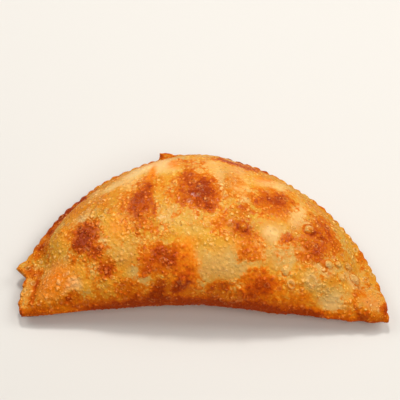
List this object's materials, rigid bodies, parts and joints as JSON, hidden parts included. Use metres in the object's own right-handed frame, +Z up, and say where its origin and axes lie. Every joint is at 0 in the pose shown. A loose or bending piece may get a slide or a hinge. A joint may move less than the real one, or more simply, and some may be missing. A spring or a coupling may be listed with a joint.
{
  "type": "empanada",
  "caption": "Half-moon fried pastry, puffed in the middle, with a fork-crimped curved rim and a blistered brown crust.",
  "frame": {"origin": "bottom centre of the bounding box, on the table", "axes": "+X from the blunt tip to the pointed tip, +Y from the fold to the crimped rim, +Z up through the browned face"},
  "size_m": [0.1401, 0.0732, 0.032],
  "materials": {
    "fried_dough": "fried wheat dough: golden to red-brown, blistered, with a thin sheen of oil"
  },
  "bodies": {
    "root": {"empanada": "fried_dough"}
  },
  "joints": []
}
